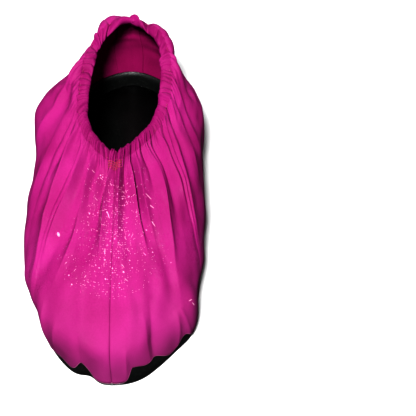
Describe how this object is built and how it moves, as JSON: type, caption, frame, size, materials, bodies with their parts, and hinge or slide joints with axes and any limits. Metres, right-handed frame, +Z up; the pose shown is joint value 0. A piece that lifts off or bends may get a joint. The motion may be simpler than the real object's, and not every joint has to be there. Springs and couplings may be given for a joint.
{
  "type": "reusable shoe cover",
  "caption": "Loose waterproof cloth cover with a gathered elastic mouth and a thin non-slip rubber sole, pulled over a shoe to keep it or the floor clean.",
  "frame": {"origin": "on the ground under the middle of the sole", "axes": "-Y towards the toe, +X to the right as seen from the toe, +Z up out of the mouth"},
  "size_m": [0.1379, 0.3113, 0.0882],
  "materials": {
    "cover_cloth": "closely woven coated cloth with a soft sheen, damp in places",
    "casing_cloth": "the same cloth, gathered over an elastic",
    "sole_rubber": "fine-grained non-slip rubber"
  },
  "bodies": {
    "root": {"sole": "sole_rubber", "upper_left": "cover_cloth", "upper_right": "cover_cloth", "collar_casing": "casing_cloth"}
  },
  "joints": []
}
